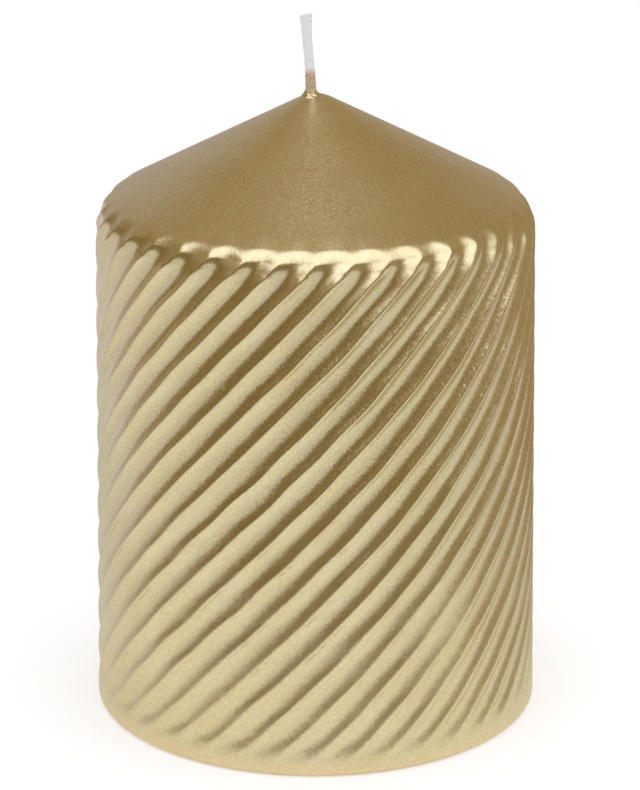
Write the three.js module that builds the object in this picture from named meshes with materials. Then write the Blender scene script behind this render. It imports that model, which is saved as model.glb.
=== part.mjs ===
// A pillar candle with a cone top and twisted flutes: a fluted paraffin core, a skin of gold
// lacquered wax over it, a braided cotton wick and the tin plated clip that holds the wick's foot.
// Lengths are in millimetres, angles in degrees, +Z is up, and the base stands on Z = 0.

import * as THREE from 'three';

// Body, measured over the ridges of the gold skin
const baseRadius = 35;
const shoulderHeight = 80.9; // where the lines of the side and the cone would meet
const sideDraft = 0.8; // each side leans in, so that the wax leaves its mould
const coneSlope = 28.1; // rise of the cone from level
const shoulderRound = 6.1;
const tipRound = 5.6;
const baseRound = 1;

// Flutes: hollow channels that meet in sharp ridges and climb to the right
const fluteCount = 38;
const fluteDepth = 0.75;
const fluteLean = 44; // from upright, measured at the base
const rimHeight = 2.4; // plain band under the flutes
const runOut = 3.4; // height over which a flute sinks in above that band
const fluteFill = 0.5; // share of the depth that settled wax and lacquer fill at the base
const fillTop = 60; // the flutes have their full depth above this height

// Gold skin and its collar round the wick
const skinWall = 0.8;
const collarWall = 0.35;
const collarRise = 0.8; // over the top of the tip
const collarSweep = 0.4; // width of the hollow sweep from the collar to the cone
const sweepOut = 0.25; // share of the sweep's width at its middle
const sweepUp = 0.15; // share of the collar's rise at the sweep's middle
const lipFoot = 0.75; // share of the collar's rise where its rounded lip starts

// Wick
const wickWidth = 1.7;
const wickOff = 0.7; // it comes out this far left of the middle
const wickFree = 12.4; // above the top of the tip
const wickSway = 0.72; // how far its top leans to the left
const wickCurve = 0.08; // share of the lean by which its line bows
const wickWaist = 0.12; // share of the width lost halfway up
const wickFlare = 0.13; // share of the width gained at the cut end
const flareEase = 6; // a higher power keeps the flare nearer the end
const wickCut = 0.35; // how far the cut across its top slants
const cutEase = 8; // a higher power keeps the slant nearer the end

// Clip at the foot of the wick
const clipRadius = 7;
const clipSheet = 0.5;
const clipNeckHeight = 6;
const clipNeckWall = 0.4;
const clipPinch = 0.15; // the neck is squeezed in this far below its mouth
const clipPinchFoot = 2.7; // heights between which the neck is squeezed
const clipPinchTop = 4.5;
const clipBead = 0.35; // height of the ring pressed into the disc
const clipBeadRadius = 4.9;
const clipLift = 0.3; // its underside stays off the table

// Gaps
const skinGap = 0.3; // between the core and the skin
const boreGap = 0.3; // between the wick and what it passes through
const clipGap = 0.3; // between the clip and its recess

// Facets
const skinPointsPerFlute = 4;
const corePointsPerFlute = 2;
const sideSteps = 13;
const edgeSteps = 2;
const shoulderFacings = [12, 20, 28, 44]; // how far up the shoulder's rings look
const conePoints = 38;
const borePoints = 16;
const clipPoints = 32;
const wickPoints = 12;
const wickSteps = 10;

const littleTurn = 0.5; // radians

const radians = THREE.MathUtils.degToRad;
const draft = radians(sideDraft);
const slope = radians(coneSlope);
const coneFacing = Math.PI / 2 - slope; // how far up the cone's surface looks
const cornerRadius = baseRadius - shoulderHeight * Math.tan(draft);
const sharpTip = shoulderHeight + cornerRadius * Math.tan(slope);
const tipCentre = sharpTip - tipRound / Math.cos(slope);
const tipHeight = tipCentre + tipRound;
const boreRadius = wickWidth / 2 + boreGap;
const clipNeckRadius = boreRadius + clipNeckWall;

// Radius of the plain side at a height, on a surface that lies inset inside the skin's outside.
function sideRadius(height, inset) {
  return baseRadius - inset / Math.cos(draft) - height * Math.tan(draft);
}

// Where the side and the cone would meet, both moved in by inset.
function cornerAt(inset) {
  const foot = baseRadius - inset / Math.cos(draft);
  const peak = sharpTip - inset / Math.cos(slope);
  const radius = (foot - peak * Math.tan(draft)) / (1 - Math.tan(slope) * Math.tan(draft));
  return { radius, height: peak - radius * Math.tan(slope) };
}

// Angle that the flutes have turned through at a height.
function turnAt(height) {
  return (height * Math.tan(radians(fluteLean))) / baseRadius;
}

// Depth of the flutes at a height: none on the rim, and less low down, where they are filled.
function depthAt(height) {
  const sunk = THREE.MathUtils.smoothstep(height, rimHeight, rimHeight + runOut);
  const filled = fluteFill * (1 - THREE.MathUtils.smoothstep(height, 0, fillTop));
  return fluteDepth * sunk * (1 - filled);
}

// Height of the body's top at a distance from the middle: the round of the tip or the cone.
function topAt(distance, inset) {
  const ball = tipRound - inset;
  return distance < ball * Math.cos(coneFacing)
    ? tipCentre + Math.sqrt(ball ** 2 - distance ** 2)
    : sharpTip - inset / Math.cos(slope) - distance * Math.tan(slope);
}

// A level ring of points, anticlockwise from above. radiusAt takes the share of the way round.
function ring(count, height, radiusAt, turn = turnAt(height), centre = 0) {
  const points = [];
  for (let i = 0; i < count; i += 1) {
    const share = i / count;
    const angle = turn + 2 * Math.PI * share;
    const radius = radiusAt(share);
    points.push([centre + radius * Math.cos(angle), radius * Math.sin(angle), height]);
  }
  return { points, turn };
}

// A round ring about the wick's line.
function wickRing(radius, height, count = borePoints) {
  return ring(count, height, () => radius, 0, -wickOff);
}

// A ring cut by the flutes. Each flute is a hollow arc between two ridges, and it cuts straight
// up the side, so it runs out in a finger tip where the rounded shoulder falls away inside it.
function flutedRing(pointsPerFlute, height, plainRadius, inset) {
  const side = sideRadius(height, inset);
  const radiusAt = (share) => {
    const across = 2 * ((share * fluteCount) % 1) - 1;
    const cut = side - depthAt(height) * (1 - across * across);
    return Math.min(plainRadius, cut);
  };
  return ring(fluteCount * pointsPerFlute, height, radiusAt);
}

// Rings of the candle's body from the base to the tip, on a surface inset inside the skin's
// outside. The last one lies on the tip, at the radius endRadius about the wick's line.
function bodyRings(inset, pointsPerFlute, endRadius) {
  const rings = [];
  const plainCount = fluteCount * 2;
  const edge = Math.max(baseRound - inset, 0);
  const edgeRings = edge > 0 ? edgeSteps : 0;
  for (let i = 0; i <= edgeRings; i += 1) {
    const angle = ((i / edgeSteps) * Math.PI) / 2;
    const height = edge * (1 - Math.cos(angle));
    const radius = sideRadius(height, inset) - edge * (1 - Math.sin(angle));
    rings.push(ring(plainCount, height, () => radius));
  }

  const shoulder = cornerAt(shoulderRound);
  const round = shoulderRound - inset;
  const sideEnd = shoulder.height + round * Math.sin(draft);
  const sideStart = rimHeight + runOut;
  const heights = [rimHeight, rimHeight + runOut / 2];
  for (let i = 0; i <= sideSteps; i += 1) {
    heights.push(THREE.MathUtils.lerp(sideStart, sideEnd, i / sideSteps));
  }
  for (const height of heights) {
    rings.push(flutedRing(pointsPerFlute, height, sideRadius(height, inset), inset));
  }

  for (const facing of [...shoulderFacings.map(radians), coneFacing]) {
    const height = shoulder.height + round * Math.sin(facing);
    const radius = shoulder.radius + round * Math.cos(facing);
    const fluted = radius > sideRadius(height, inset) - fluteDepth;
    rings.push(fluted
      ? flutedRing(pointsPerFlute, height, radius, inset)
      : ring(plainCount, height, () => radius));
  }

  const coneEnd = (tipRound - inset) * Math.cos(coneFacing);
  if (coneEnd > endRadius + wickOff) {
    const last = turnAt(shoulder.height + round * Math.sin(coneFacing));
    rings.push(ring(conePoints, topAt(coneEnd, inset), () => coneEnd, last));
  }
  const end = wickRing(endRadius, tipHeight);
  for (const point of end.points) {
    point[2] = topAt(Math.hypot(point[0], point[1]), inset);
  }
  rings.push(end);
  return rings;
}

// Faces of the band between two neighbouring rings, whatever their counts. Rings that turn only
// a little from one to the next are joined point to point, along the flutes, and others from the
// points that face the same way.
function bandFaces(low, high) {
  const faces = [];
  const lowSteps = low.count > 1 ? low.count : 0;
  const highSteps = high.count > 1 ? high.count : 0;
  const turned = low.turn - high.turn;
  const nearest = Math.round((turned / (2 * Math.PI)) * high.count) + 2 * high.count;
  const start = Math.abs(turned) < littleTurn ? 0 : nearest;
  let i = 0;
  let j = 0;
  while (i < lowSteps || j < highSteps) {
    const a = low.first + (i % low.count);
    const b = high.first + ((start + j) % high.count);
    const lowIsNext = i < lowSteps
      && (j >= highSteps || (i + 1) * high.count <= (j + 1) * low.count);
    if (lowIsNext) {
      faces.push(a, low.first + ((i + 1) % low.count), b);
      i += 1;
    } else {
      faces.push(a, high.first + ((start + j + 1) % high.count), b);
      j += 1;
    }
  }
  return faces;
}

// A closed solid from rings in order, outside upwards and inside downwards. A looped skin joins
// its last ring to its first; any other starts and ends on a single point.
function skinOf(rings, looped) {
  const points = [];
  const spans = [];
  for (const each of rings) {
    spans.push({ first: points.length, count: each.points.length, turn: each.turn });
    points.push(...each.points);
  }
  const faces = [];
  const bands = looped ? spans.length : spans.length - 1;
  for (let i = 0; i < bands; i += 1) {
    faces.push(...bandFaces(spans[i], spans[(i + 1) % spans.length]));
  }
  const geometry = new THREE.BufferGeometry();
  geometry.setAttribute('position', new THREE.Float32BufferAttribute(points.flat(), 3));
  geometry.setIndex(faces);
  geometry.computeVertexNormals();
  return geometry;
}

// The gold skin: the outside with its flutes, the collar, then the inside down to the base.
function goldSkin() {
  const collarRadius = boreRadius + collarWall;
  const outside = bodyRings(0, skinPointsPerFlute, collarRadius + collarSweep);
  const collar = [
    wickRing(collarRadius + collarSweep * sweepOut, tipHeight + collarRise * sweepUp),
    wickRing(collarRadius, tipHeight + collarRise * lipFoot),
    wickRing(collarRadius - collarWall / 2, tipHeight + collarRise),
    wickRing(boreRadius, tipHeight + collarRise * lipFoot),
  ];
  const inside = bodyRings(skinWall, corePointsPerFlute, boreRadius);
  return skinOf([...outside, ...collar, ...inside.reverse()], true);
}

// The core: the fluted body inside the skin, bored for the wick and recessed for the clip.
function waxCore() {
  const inset = skinWall + skinGap;
  const neckTop = clipLift + clipSheet + clipNeckHeight + clipGap;
  const neckRoom = clipNeckRadius + clipGap;
  const recessTop = clipLift + clipSheet + clipBead + clipGap;
  const recessRadius = clipRadius + clipGap;
  const bore = [
    wickRing(boreRadius, neckTop),
    wickRing(neckRoom, neckTop),
    wickRing(neckRoom, recessTop),
    wickRing(recessRadius, recessTop, clipPoints),
    wickRing(recessRadius, 0, clipPoints),
  ];
  const outside = bodyRings(inset, corePointsPerFlute, boreRadius);
  return skinOf([...outside, ...bore], true);
}

// The wick: straight through the candle, then leaning to the left in a slight curve, with a
// waist halfway up and a flare at its slanted cut.
function wick() {
  const foot = clipLift;
  const bend = tipHeight + collarRise;
  const top = tipHeight + wickFree;
  const half = wickWidth / 2;
  const rings = [ring(1, foot, () => 0, 0), ring(wickPoints, foot, () => half, 0)];
  for (let i = 0; i <= wickSteps; i += 1) {
    const share = i / wickSteps;
    const height = THREE.MathUtils.lerp(bend, top, share);
    const sway = wickSway * (share - wickCurve * Math.sin(2 * Math.PI * share));
    const waist = wickWaist * Math.sin(Math.PI * share);
    const spread = 1 - waist + wickFlare * share ** flareEase;
    const level = ring(wickPoints, height, () => half * spread, 0, -sway);
    for (const point of level.points) {
      point[2] -= wickCut * share ** cutEase * (0.5 - (point[0] + sway) / wickWidth);
    }
    rings.push(level);
  }
  rings.push(ring(1, top - wickCut / 2, () => 0, 0, -wickSway));
  return skinOf(rings, false);
}

// The clip: a pressed disc with a ring bead, drawn up into a neck that is pinched on the wick.
function wickClip() {
  const neckTop = clipSheet + clipNeckHeight;
  const pinchFoot = clipSheet + clipPinchFoot;
  const pinchTop = clipSheet + clipPinchTop;
  const beadStart = clipBeadRadius - clipSheet;
  const beadEnd = clipBeadRadius + clipSheet;
  const section = [
    [boreRadius, 0],
    [beadStart, 0],
    [clipBeadRadius, clipBead],
    [beadEnd, 0],
    [clipRadius, 0],
    [clipRadius, clipSheet],
    [beadEnd, clipSheet],
    [clipBeadRadius, clipSheet + clipBead],
    [beadStart, clipSheet],
    [clipNeckRadius + clipSheet, clipSheet],
    [clipNeckRadius, clipSheet * 2],
    [clipNeckRadius, pinchFoot],
    [clipNeckRadius - clipPinch, (pinchFoot + pinchTop) / 2],
    [clipNeckRadius, pinchTop],
    [clipNeckRadius, neckTop],
    [boreRadius, neckTop],
    [boreRadius, pinchTop],
    [boreRadius - clipPinch, (pinchFoot + pinchTop) / 2],
    [boreRadius, pinchFoot],
    [boreRadius, 0],
  ];
  const outline = section.map(([radius, height]) => new THREE.Vector2(radius, height));
  const geometry = new THREE.LatheGeometry(outline, clipPoints);
  geometry.rotateX(Math.PI / 2);
  return geometry;
}

// A named mesh with its own plain material.
function piece(name, geometry, color, roughness, metalness) {
  const material = new THREE.MeshStandardMaterial({ color, roughness, metalness });
  const mesh = new THREE.Mesh(geometry, material);
  mesh.name = name;
  return mesh;
}

const body = new THREE.Group();
body.add(piece('wax_core', waxCore(), 0xf1ead8, 0.6, 0));
body.add(piece('gold_skin', goldSkin(), 0xc8b479, 0.35, 1));

const wickLine = new THREE.Group();
wickLine.position.x = -wickOff;
wickLine.add(piece('wick', wick(), 0xe6e3dc, 0.7, 0));
const clip = piece('wick_clip', wickClip(), 0xb9bcbf, 0.3, 1);
clip.position.z = clipLift;
wickLine.add(clip);

const candle = new THREE.Group();
candle.add(body, wickLine);

export default candle;
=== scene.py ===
"""Looks of a gold pillar candle with twisted flutes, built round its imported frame.

The candle is a white paraffin core under a skin of gold lacquered wax, with a braided wick that is
held at its foot by a tin plated clip. Lengths are in metres, in the frame's own axes: +Z is up, the
candle stands on Z = 0 and its photographed front faces -Y.
"""

import logging
import math
from dataclasses import dataclass, field
from enum import Enum

import bpy
import numpy as np
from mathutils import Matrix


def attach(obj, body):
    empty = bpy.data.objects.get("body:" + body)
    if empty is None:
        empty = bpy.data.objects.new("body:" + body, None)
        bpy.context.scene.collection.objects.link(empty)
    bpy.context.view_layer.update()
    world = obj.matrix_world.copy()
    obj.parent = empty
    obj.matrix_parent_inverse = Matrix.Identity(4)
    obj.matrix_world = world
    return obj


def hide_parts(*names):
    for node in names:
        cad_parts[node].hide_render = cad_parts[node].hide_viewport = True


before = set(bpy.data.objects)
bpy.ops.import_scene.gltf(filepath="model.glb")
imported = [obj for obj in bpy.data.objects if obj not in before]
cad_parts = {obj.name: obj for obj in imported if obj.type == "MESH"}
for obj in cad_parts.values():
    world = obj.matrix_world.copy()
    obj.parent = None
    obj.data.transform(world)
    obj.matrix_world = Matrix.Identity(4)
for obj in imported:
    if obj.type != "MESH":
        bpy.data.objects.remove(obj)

LOG = logging.getLogger("candle")
MM = 0.001
Colour = tuple[float, float, float]
Range = tuple[float, float]
Socket = bpy.types.NodeSocket
Value = float | Socket


def smooth_step(low: float, high: float, value: np.ndarray) -> np.ndarray:
    """Eases from 0 at low to 1 at high: 3 t squared minus 2 t cubed, with t the share of the way."""
    share = np.clip((value - low) / (high - low), 0.0, 1.0)
    return share * share * (3.0 - 2.0 * share)


def soft_min(first: np.ndarray, second: np.ndarray, width: np.ndarray) -> np.ndarray:
    """The lower surface, lowered by a quarter of the width times the squared share of overlap."""
    overlap = np.clip(1.0 - np.abs(first - second) / width, 0.0, 1.0)
    return np.minimum(first, second) - 0.25 * width * overlap * overlap


def round_corners(section: np.ndarray, reach: float, steps: int) -> np.ndarray:
    """Rounds each corner of a section but its first and last points.

    Args:
        section: points by 2.
        reach: how far from a corner its round starts, at most 0.45 of the shorter side.
        steps: points on each round.

    Returns:
        The section with each corner P replaced by the curve (1 - t)^2 A + 2 t (1 - t) P + t^2 B,
        where A and B lie at the reach from P on its two sides.
    """
    corner = section[1:-1]
    back, ahead = section[:-2] - corner, section[2:] - corner
    back_length = np.linalg.norm(back, axis=1, keepdims=True)
    ahead_length = np.linalg.norm(ahead, axis=1, keepdims=True)
    near = np.minimum(reach, 0.45 * np.minimum(back_length, ahead_length))
    start = (corner + back / back_length * near)[:, None]
    end = (corner + ahead / ahead_length * near)[:, None]
    share = np.linspace(0.0, 1.0, steps)[None, :, None]
    curve = (1.0 - share) ** 2 * start + 2.0 * share * (1.0 - share) * corner[:, None]
    curve = curve + share**2 * end
    return np.concatenate((section[:1], curve.reshape(-1, 2), section[-1:]))


@dataclass(frozen=True)
class Ripple:
    """A smooth field round the candle: a sum of sine waves in angle and height.

    The waves go round a whole number of times, so the field has no seam.
    """

    seed: int
    waves: int
    most_round: int
    shortest_rise: float

    def at(self, angle: np.ndarray, height: np.ndarray) -> np.ndarray:
        """Value of the field.

        Args:
            angle: angles in radians.
            height: heights in metres.

        Returns:
            The sum of sin(m angle + q height + phase) over the waves, divided by the root of their
            number.
        """
        draw = np.random.default_rng(self.seed)
        total = np.zeros(np.broadcast(angle, height).shape)
        for _ in range(self.waves):
            times = int(draw.integers(0, self.most_round + 1))
            rise = draw.uniform(-1.0, 1.0) * 2.0 * math.pi / self.shortest_rise
            phase = draw.uniform(0.0, 2.0 * math.pi)
            total += np.sin(times * angle + rise * height + phase)
        return total / math.sqrt(self.waves)


@dataclass
class Surface:
    """A closed surface: rows of points that each run once round, as one array.

    Attributes:
        points: rows by columns by 3, in metres.
        looped: True if the last row joins the first, False if both ends are capped.
        values: named numbers or vectors at each point, which the finish reads.
    """

    points: np.ndarray
    looped: bool
    values: dict[str, np.ndarray] = field(default_factory=dict)

    def faces(self) -> list[list[int]]:
        """Corner numbers of the faces.

        Returns:
            A quad between each pair of neighbouring points of neighbouring rows, and a fan of
            triangles at each cap.
        """
        rows, columns = self.points.shape[:2]
        bands = rows if self.looped else rows - 1
        row = np.arange(bands)[:, None]
        column = np.arange(columns)[None, :]
        beside = (column + 1) % columns
        above = (row + 1) % rows
        corners = (row * columns + column, row * columns + beside,
                   above * columns + beside, above * columns + column)
        quads = np.stack(corners, axis=-1).reshape(-1, 4).tolist()
        if self.looped:
            return quads
        centre = rows * columns
        flat, next_flat = column[0], beside[0]
        low = np.stack((np.full(columns, centre), next_flat, flat), axis=-1)
        top = (rows - 1) * columns
        high = np.stack((np.full(columns, centre + 1), top + flat, top + next_flat), axis=-1)
        return quads + low.tolist() + high.tolist()

    def build(self, name: str) -> bpy.types.Object:
        """Makes the mesh object, smooth shaded, at the origin.

        Args:
            name: the object's name.

        Returns:
            The object, linked to the scene.
        """
        flat = self.points.reshape(-1, 3)
        if not self.looped:
            ends = [self.points[0].mean(axis=0), self.points[-1].mean(axis=0)]
            flat = np.concatenate((flat, ends))
        mesh = bpy.data.meshes.new(name)
        mesh.from_pydata(flat.tolist(), [], self.faces())
        mesh.polygons.foreach_set("use_smooth", np.ones(len(mesh.polygons), dtype=bool))
        for label, value in self.values.items():
            self._store(mesh, label, value)
        mesh.update()
        made = bpy.data.objects.new(name, mesh)
        bpy.context.scene.collection.objects.link(made)
        return made

    def _store(self, mesh: bpy.types.Mesh, label: str, value: np.ndarray) -> None:
        """Writes one named value onto the mesh's points.

        Args:
            mesh: the mesh.
            label: the name that the finish reads.
            value: rows by columns, or rows by columns by 3; a cap takes the first point's value.
        """
        is_vector = value.ndim == 3
        flat = value.reshape(-1, 3) if is_vector else value.reshape(-1)
        spare = len(mesh.vertices) - len(flat)
        if spare:
            flat = np.concatenate((flat, np.repeat(flat[:1], spare, axis=0)))
        kind, key = ("FLOAT_VECTOR", "vector") if is_vector else ("FLOAT", "value")
        attribute = mesh.attributes.new(label, kind, "POINT")
        attribute.data.foreach_set(key, flat.astype(np.float32).ravel())


def turns(columns: int) -> np.ndarray:
    """Angles of the columns, evenly once round, as one row."""
    return np.arange(columns)[None, :] * 2.0 * math.pi / columns


def revolve(radius: np.ndarray, height: np.ndarray, columns: int,
            centre: float | np.ndarray) -> np.ndarray:
    """Points of a profile turned round an upright line.

    Args:
        radius: radius of each row, or of each point.
        height: height of each row.
        columns: points round each row.
        centre: X of the line, or of the middle of each row.

    Returns:
        Rows by columns by 3: centre plus radius times the cosine, radius times the sine, height.
    """
    angle = turns(columns)
    wide = radius if radius.ndim == 2 else radius[:, None]
    across = centre + wide * np.cos(angle)
    along = wide * np.sin(angle)
    return np.stack((across, along, np.broadcast_to(height[:, None], across.shape)), axis=-1)


class Nodes:
    """A short way to lay out and join a node tree."""

    def __init__(self, tree: bpy.types.NodeTree) -> None:
        """Takes a node tree and empties it."""
        self.tree = tree
        self.tree.nodes.clear()

    def add(self, kind: str, settings: dict | None = None, inputs: dict | None = None) -> bpy.types.Node:
        """Adds a node.

        Args:
            kind: the node's Blender type.
            settings: properties of the node.
            inputs: socket names or numbers with a value, or an output socket to join.

        Returns:
            The new node.
        """
        node = self.tree.nodes.new(kind)
        for key, value in (settings or {}).items():
            setattr(node, key, value)
        for key, value in (inputs or {}).items():
            if isinstance(value, Socket):
                self.tree.links.new(value, node.inputs[key])
            else:
                node.inputs[key].default_value = value
        return node

    def math(self, operation: str, *values: Value) -> Socket:
        """Returns what a Math node's operation gives for the values."""
        settings = {"operation": operation}
        return self.add("ShaderNodeMath", settings, dict(enumerate(values))).outputs[0]

    def product(self, first: Value, *others: Value) -> Socket:
        """Multiplies numbers in turn.

        Args:
            first: the first number.
            others: the other numbers.

        Returns:
            The product of all.
        """
        for other in others:
            first = self.math("MULTIPLY", first, other)
        return first

    def distance(self, value: Value, middle: float) -> Socket:
        """Returns how far a value lies from a middle value."""
        return self.math("ABSOLUTE", self.math("SUBTRACT", value, middle))

    def vector(self, operation: str, *values: Colour | Socket) -> Socket:
        """Returns what a Vector Math node's operation gives for the values."""
        settings = {"operation": operation}
        return self.add("ShaderNodeVectorMath", settings, dict(enumerate(values))).outputs[0]

    def scale(self, vector: Colour | Socket, share: Value) -> Socket:
        """Returns a vector or a colour multiplied by a number."""
        inputs = {0: vector, "Scale": share}
        return self.add("ShaderNodeVectorMath", {"operation": "SCALE"}, inputs).outputs[0]

    def place(self) -> Socket:
        """Returns the Object coordinates, in metres."""
        return self.add("ShaderNodeTexCoord").outputs["Object"]

    def height(self, place: Socket) -> Socket:
        """Returns the Z of a place."""
        return self.add("ShaderNodeSeparateXYZ", None, {0: place}).outputs["Z"]

    def stored(self, label: str, is_vector: bool = False) -> Socket:
        """Returns the number or the vector that the mesh carries under a label."""
        node = self.add("ShaderNodeAttribute", {"attribute_name": label})
        return node.outputs["Vector" if is_vector else "Fac"]

    def noise(self, vector: Socket, grain: float, detail: float = 2.0) -> Socket:
        """Returns a noise with grains of a size in metres, from 0 to 1 and mostly near a half."""
        inputs = {"Vector": vector, "Scale": 1.0 / grain, "Detail": detail}
        return self.add("ShaderNodeTexNoise", None, inputs).outputs["Fac"]

    def cells(self, vector: Socket, grain: float) -> Socket:
        """Returns a random colour for each cell of a size in metres."""
        inputs = {"Vector": vector, "Scale": 1.0 / grain}
        return self.add("ShaderNodeTexVoronoi", None, inputs).outputs["Color"]

    def ease(self, value: Value, low: float, high: float,
             out_low: float = 0.0, out_high: float = 1.0) -> Socket:
        """Eases a value from one range onto another.

        Args:
            value: what is eased.
            low: where it starts, which may be above high.
            high: where it ends.
            out_low: the result at low.
            out_high: the result at high.

        Returns:
            The eased value.
        """
        inputs = {0: value, 1: low, 2: high, 3: out_low, 4: out_high}
        settings = {"interpolation_type": "SMOOTHSTEP"}
        return self.add("ShaderNodeMapRange", settings, inputs).outputs[0]

    def blend(self, share: Value, first: Colour | Socket, second: Colour | Socket) -> Socket:
        """Mixes two colours.

        Args:
            share: the part of the second colour.
            first: the colour at share 0.
            second: the colour at share 1.

        Returns:
            The mixed colour.
        """
        node = self.add("ShaderNodeMix", {"data_type": "RGBA"}, {0: share})
        for socket, value in ((node.inputs[6], first), (node.inputs[7], second)):
            if isinstance(value, Socket):
                self.tree.links.new(value, socket)
            else:
                socket.default_value = (*value, 1.0)
        return node.outputs[2]

    def bump(self, height: Socket, distance: float, normal: Socket | None = None) -> Socket:
        """Raises a normal by a height.

        Args:
            height: the height from 0 to 1.
            distance: its size in metres.
            normal: the normal it starts from, if not the surface's own.

        Returns:
            The new normal.
        """
        inputs = {"Height": height, "Distance": distance}
        if normal is not None:
            inputs["Normal"] = normal
        return self.add("ShaderNodeBump", None, inputs).outputs[0]


@dataclass(frozen=True)
class Finish:
    """A named material; each kind lays out its own shader."""

    name: str

    def material(self) -> bpy.types.Material:
        """Makes the material.

        Returns:
            The material, with the kind's shader joined to its output.
        """
        made = bpy.data.materials.new(self.name)
        made.use_nodes = True
        nodes = Nodes(made.node_tree)
        shader = nodes.add("ShaderNodeBsdfPrincipled", None, self.inputs(nodes))
        output = nodes.add("ShaderNodeOutputMaterial")
        nodes.tree.links.new(shader.outputs[0], output.inputs["Surface"])
        return made

    def inputs(self, nodes: Nodes) -> dict[str, Value | Colour]:
        """Returns the Principled shader's inputs."""
        raise NotImplementedError


@dataclass(frozen=True)
class Creases:
    """Fine broken wrinkles that run along the low ridges, on their lower right; they are bumped in and
    darkened with painted shade.

    Attributes:
        ridge: how far from the ridge they run, 1 being the floor of the flute.
        wander: how far they stray to and fro, in the same measure.
        line: distances from a wrinkle's line at which it starts and is full.
        side: places on the flute's flank between which they start.
        upper: heights between which they end above; lower has those below.
        patch: the noise's values at the edge of a patch that holds them; gap has those of a gap.
    """

    ridge: float = 0.21
    wander: float = 0.22
    wander_grain: float = 2.4 * MM
    line: Range = (0.045, 0.012)
    side: Range = (-0.05, -0.25)
    upper: Range = (52.0 * MM, 30.0 * MM)
    lower: Range = (9.0 * MM, 14.0 * MM)
    patch_grain: float = 6.5 * MM
    patch: Range = (0.50, 0.60)
    gap_grain: float = 0.7 * MM
    gap: Range = (0.38, 0.52)

    def share(self, nodes: Nodes, place: Socket, unwound: Socket) -> Socket:
        """Works out where the wrinkles are.

        Args:
            nodes: the node tree.
            place: the Object coordinates.
            unwound: coordinates that change slowly along the flutes.

        Returns:
            1 in a wrinkle and 0 elsewhere.
        """
        stray = nodes.math("MULTIPLY", nodes.noise(unwound, self.wander_grain), self.wander)
        lane = nodes.math("ADD", nodes.stored("ridge"), stray)
        height = nodes.height(place)
        return nodes.product(
            nodes.ease(nodes.distance(lane, self.ridge + 0.5 * self.wander), *self.line),
            nodes.ease(nodes.stored("flank"), *self.side),
            nodes.ease(height, *self.upper),
            nodes.ease(height, *self.lower),
            nodes.ease(nodes.noise(place, self.patch_grain), *self.patch),
            nodes.ease(nodes.noise(place, self.gap_grain), *self.gap),
        )


@dataclass(frozen=True)
class Flakes:
    """Metal flakes in the lacquer: cells that each tilt the surface and change its colour a little.

    Attributes:
        tint: how much their colours differ; tone has how dark and how light they are.
        glint_chance: random values between which a flake starts to glint.
        cone_foot: heights between which the cone gives way to the flutes.
        calm_height: the height of the shoulder, where they lie flatter.
        calm_reach: distances from there between which they tilt again.
        calm_tilt: the share of the tilt that they keep there.
    """

    size: float = 0.20 * MM
    tilt: float = 0.095
    cone_tilt: float = 0.12
    tint: float = 0.085
    tone: Range = (0.945, 1.055)
    glint_size: float = 0.21 * MM
    glint_chance: Range = (0.92, 0.98)
    glint_tilt: float = 0.17
    cone_foot: Range = (78.0 * MM, 72.0 * MM)
    calm_height: float = 79.0 * MM
    calm_reach: Range = (3.0 * MM, 8.0 * MM)
    calm_tilt: float = 0.45
    pooled_tilt: float = 0.3

    def shares(self, nodes: Nodes, place: Socket, pooled: Socket) -> tuple[Socket, Socket, Socket]:
        """Works out what the flakes do.

        Args:
            nodes: the node tree.
            place: the Object coordinates.
            pooled: 1 in the collar and 0 elsewhere.

        Returns:
            What is added to the normal, what is added to the colour and what the colour is
            multiplied by.
        """
        height = nodes.height(place)
        chance = nodes.add("ShaderNodeSeparateXYZ", None, {0: nodes.cells(place, self.glint_size)})
        fluted = nodes.ease(height, *self.cone_foot)
        glint = nodes.ease(chance.outputs["X"], *self.glint_chance, 0.0, self.glint_tilt)
        plain = nodes.ease(fluted, 0.0, 1.0, self.cone_tilt, self.tilt)
        tilt = nodes.product(
            nodes.math("ADD", nodes.product(glint, fluted), plain),
            nodes.ease(pooled, 0.0, 1.0, 1.0, self.pooled_tilt),
            nodes.ease(nodes.distance(height, self.calm_height), *self.calm_reach, self.calm_tilt, 1.0),
        )
        way = nodes.vector("SUBTRACT", nodes.cells(place, self.size), (0.5, 0.5, 0.5))
        tone = nodes.ease(chance.outputs["Y"], 0.0, 1.0, *self.tone)
        return nodes.scale(way, tilt), nodes.scale(way, self.tint), tone


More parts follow.
